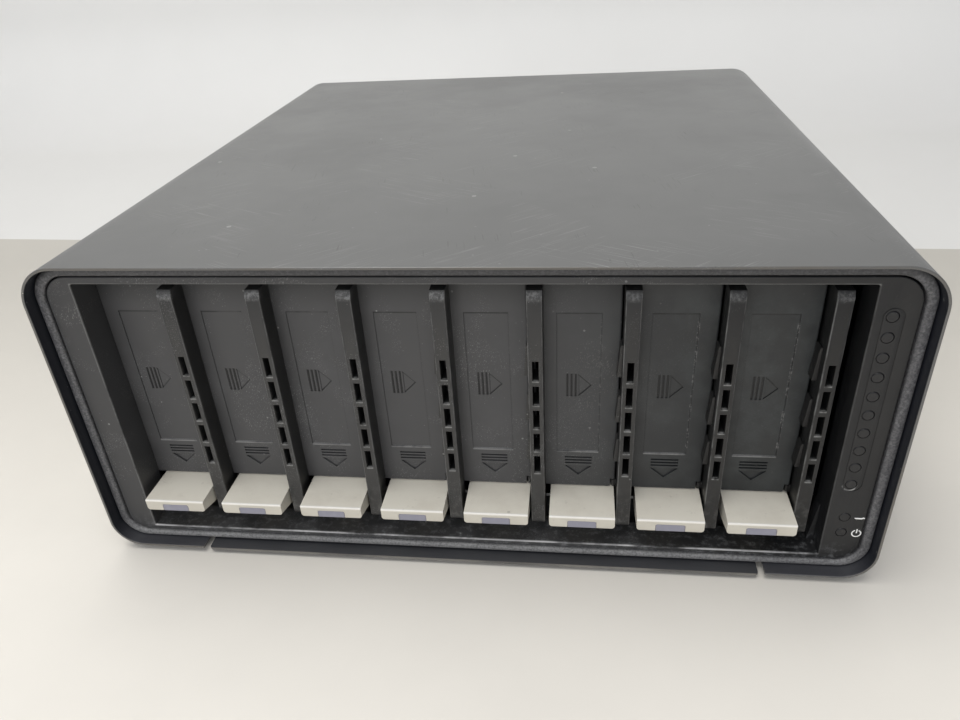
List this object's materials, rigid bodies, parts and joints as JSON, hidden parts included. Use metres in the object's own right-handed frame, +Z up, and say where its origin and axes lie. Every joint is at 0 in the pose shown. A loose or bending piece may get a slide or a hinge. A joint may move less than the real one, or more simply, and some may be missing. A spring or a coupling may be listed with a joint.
{
  "type": "network storage enclosure",
  "caption": "Desktop network-storage enclosure: black steel case, upright drive bays behind hinged flaps, pale release levers below them, fans and sockets at the back.",
  "frame": {"origin": "on the surface it stands on, under the middle of the case", "axes": "+X to the viewer's right when facing the bays, +Y from the bays to the rear panel, +Z up"},
  "size_m": [0.309, 0.3224, 0.1321],
  "materials": {
    "case_steel": "satin black powder coat, worn at the front edges",
    "grained_plastic": "fine sparkly grain",
    "bezel_plastic": "smooth satin charcoal",
    "divider_plastic": "smooth charcoal, scuffed on the noses",
    "door_plastic": "smooth matt charcoal",
    "lever_plastic": "warm light grey, satin",
    "insert_plastic": "lavender grey",
    "lens_plastic": "smoked, unlit",
    "rubber": "matt",
    "bare_steel": "zinc plated",
    "circuit_board": "green solder mask",
    "connector_plastic": "black",
    "black_plastic": "black, satin",
    "heat_sink_metal": "clear anodised",
    "plated_wire": "bright nickel",
    "panel_steel": "satin black"
  },
  "bodies": {
    "case": {"outer_shell": "case_steel", "base_plate": "panel_steel", "rubber_feet": "rubber", "trim_ring": "grained_plastic", "front_bezel": "bezel_plastic", "capacity_light_pipes": "lens_plastic", "status_light_pipes": "lens_plastic", "led_board": "circuit_board", "cage_floor": "bare_steel", "cage_roof": "bare_steel", "cage_sides": "bare_steel", "hinge_pins": "bare_steel", "lever_springs": "bare_steel", "backplane_board": "circuit_board", "drive_connectors": "connector_plastic", "main_board": "circuit_board", "heat_sink": "heat_sink_metal", "power_supply": "bare_steel", "mains_inlet": "black_plastic", "switch_frame": "black_plastic", "fan_frames": "black_plastic", "finger_guards": "plated_wire", "rear_panel": "panel_steel", "rear_sockets": "bare_steel", "screws": "bare_steel", "bay_divider_1": "divider_plastic", "bay_divider_2": "divider_plastic", "bay_divider_3": "divider_plastic", "bay_divider_4": "divider_plastic", "bay_divider_5": "divider_plastic", "bay_divider_6": "divider_plastic", "bay_divider_7": "divider_plastic", "bay_divider_8": "divider_plastic"},
    "door_1": {"bay_door_1": "door_plastic"},
    "lever_1": {"release_lever_1": "lever_plastic", "lever_insert_1": "insert_plastic"},
    "door_2": {"bay_door_2": "door_plastic"},
    "lever_2": {"release_lever_2": "lever_plastic", "lever_insert_2": "insert_plastic"},
    "door_3": {"bay_door_3": "door_plastic"},
    "lever_3": {"release_lever_3": "lever_plastic", "lever_insert_3": "insert_plastic"},
    "door_4": {"bay_door_4": "door_plastic"},
    "lever_4": {"release_lever_4": "lever_plastic", "lever_insert_4": "insert_plastic"},
    "door_5": {"bay_door_5": "door_plastic"},
    "lever_5": {"release_lever_5": "lever_plastic", "lever_insert_5": "insert_plastic"},
    "door_6": {"bay_door_6": "door_plastic"},
    "lever_6": {"release_lever_6": "lever_plastic", "lever_insert_6": "insert_plastic"},
    "door_7": {"bay_door_7": "door_plastic"},
    "lever_7": {"release_lever_7": "lever_plastic", "lever_insert_7": "insert_plastic"},
    "door_8": {"bay_door_8": "door_plastic"},
    "lever_8": {"release_lever_8": "lever_plastic", "lever_insert_8": "insert_plastic"},
    "rocker": {"switch_rocker": "black_plastic"},
    "fan_1": {"fan_rotor_1": "black_plastic"},
    "fan_2": {"fan_rotor_2": "black_plastic"}
  },
  "joints": [
    {"name": "door_1_swing", "type": "hinge", "parent": "case", "child": "door_1", "pos_m": [-0.1105, -0.14075, 0.0749], "axis": [0, 0, -1], "range_deg": [0, 90], "stiffness_Nm_per_rad": 0.0008, "springref_deg": -5.73},
    {"name": "lever_1_press", "type": "hinge", "parent": "case", "child": "lever_1", "pos_m": [-0.1234, -0.04925, 0.0156], "axis": [1, 0, 0], "range_deg": [0, 5.6], "stiffness_Nm_per_rad": 0.12, "springref_deg": -6.88},
    {"name": "door_2_swing", "type": "hinge", "parent": "case", "child": "door_2", "pos_m": [-0.07706, -0.14075, 0.0749], "axis": [0, 0, -1], "range_deg": [0, 90], "stiffness_Nm_per_rad": 0.0008, "springref_deg": -5.73},
    {"name": "lever_2_press", "type": "hinge", "parent": "case", "child": "lever_2", "pos_m": [-0.08996, -0.04925, 0.0156], "axis": [1, 0, 0], "range_deg": [0, 5.6], "stiffness_Nm_per_rad": 0.12, "springref_deg": -6.88},
    {"name": "door_3_swing", "type": "hinge", "parent": "case", "child": "door_3", "pos_m": [-0.04362, -0.14075, 0.0749], "axis": [0, 0, -1], "range_deg": [0, 90], "stiffness_Nm_per_rad": 0.0008, "springref_deg": -5.73},
    {"name": "lever_3_press", "type": "hinge", "parent": "case", "child": "lever_3", "pos_m": [-0.05652, -0.04925, 0.0156], "axis": [1, 0, 0], "range_deg": [0, 5.6], "stiffness_Nm_per_rad": 0.12, "springref_deg": -6.88},
    {"name": "door_4_swing", "type": "hinge", "parent": "case", "child": "door_4", "pos_m": [-0.01018, -0.14075, 0.0749], "axis": [0, 0, -1], "range_deg": [0, 90], "stiffness_Nm_per_rad": 0.0008, "springref_deg": -5.73},
    {"name": "lever_4_press", "type": "hinge", "parent": "case", "child": "lever_4", "pos_m": [-0.02308, -0.04925, 0.0156], "axis": [1, 0, 0], "range_deg": [0, 5.6], "stiffness_Nm_per_rad": 0.12, "springref_deg": -6.88},
    {"name": "door_5_swing", "type": "hinge", "parent": "case", "child": "door_5", "pos_m": [0.02326, -0.14075, 0.0749], "axis": [0, 0, -1], "range_deg": [0, 90], "stiffness_Nm_per_rad": 0.0008, "springref_deg": -5.73},
    {"name": "lever_5_press", "type": "hinge", "parent": "case", "child": "lever_5", "pos_m": [0.01036, -0.04925, 0.0156], "axis": [1, 0, 0], "range_deg": [0, 5.6], "stiffness_Nm_per_rad": 0.12, "springref_deg": -6.88},
    {"name": "door_6_swing", "type": "hinge", "parent": "case", "child": "door_6", "pos_m": [0.0567, -0.14075, 0.0749], "axis": [0, 0, -1], "range_deg": [0, 90], "stiffness_Nm_per_rad": 0.0008, "springref_deg": -5.73},
    {"name": "lever_6_press", "type": "hinge", "parent": "case", "child": "lever_6", "pos_m": [0.0438, -0.04925, 0.0156], "axis": [1, 0, 0], "range_deg": [0, 5.6], "stiffness_Nm_per_rad": 0.12, "springref_deg": -6.88},
    {"name": "door_7_swing", "type": "hinge", "parent": "case", "child": "door_7", "pos_m": [0.09014, -0.14075, 0.0749], "axis": [0, 0, -1], "range_deg": [0, 90], "stiffness_Nm_per_rad": 0.0008, "springref_deg": -5.73},
    {"name": "lever_7_press", "type": "hinge", "parent": "case", "child": "lever_7", "pos_m": [0.07724, -0.04925, 0.0156], "axis": [1, 0, 0], "range_deg": [0, 5.6], "stiffness_Nm_per_rad": 0.12, "springref_deg": -6.88},
    {"name": "door_8_swing", "type": "hinge", "parent": "case", "child": "door_8", "pos_m": [0.12358, -0.14075, 0.0749], "axis": [0, 0, -1], "range_deg": [0, 90], "stiffness_Nm_per_rad": 0.0008, "springref_deg": -5.73},
    {"name": "lever_8_press", "type": "hinge", "parent": "case", "child": "lever_8", "pos_m": [0.11068, -0.04925, 0.0156], "axis": [1, 0, 0], "range_deg": [0, 5.6], "stiffness_Nm_per_rad": 0.12, "springref_deg": -6.88},
    {"name": "power_switch_rock", "type": "hinge", "parent": "case", "child": "rocker", "pos_m": [-0.092, 0.15405, 0.0274], "axis": [-1, 0, 0], "range_deg": [0, 8]},
    {"name": "fan_1_spin", "type": "hinge", "parent": "case", "child": "fan_1", "pos_m": [-0.022, 0.14335, 0.0784], "axis": [0, 1, 0], "continuous": true},
    {"name": "fan_2_spin", "type": "hinge", "parent": "case", "child": "fan_2", "pos_m": [0.078, 0.14335, 0.0784], "axis": [0, 1, 0], "continuous": true}
  ]
}
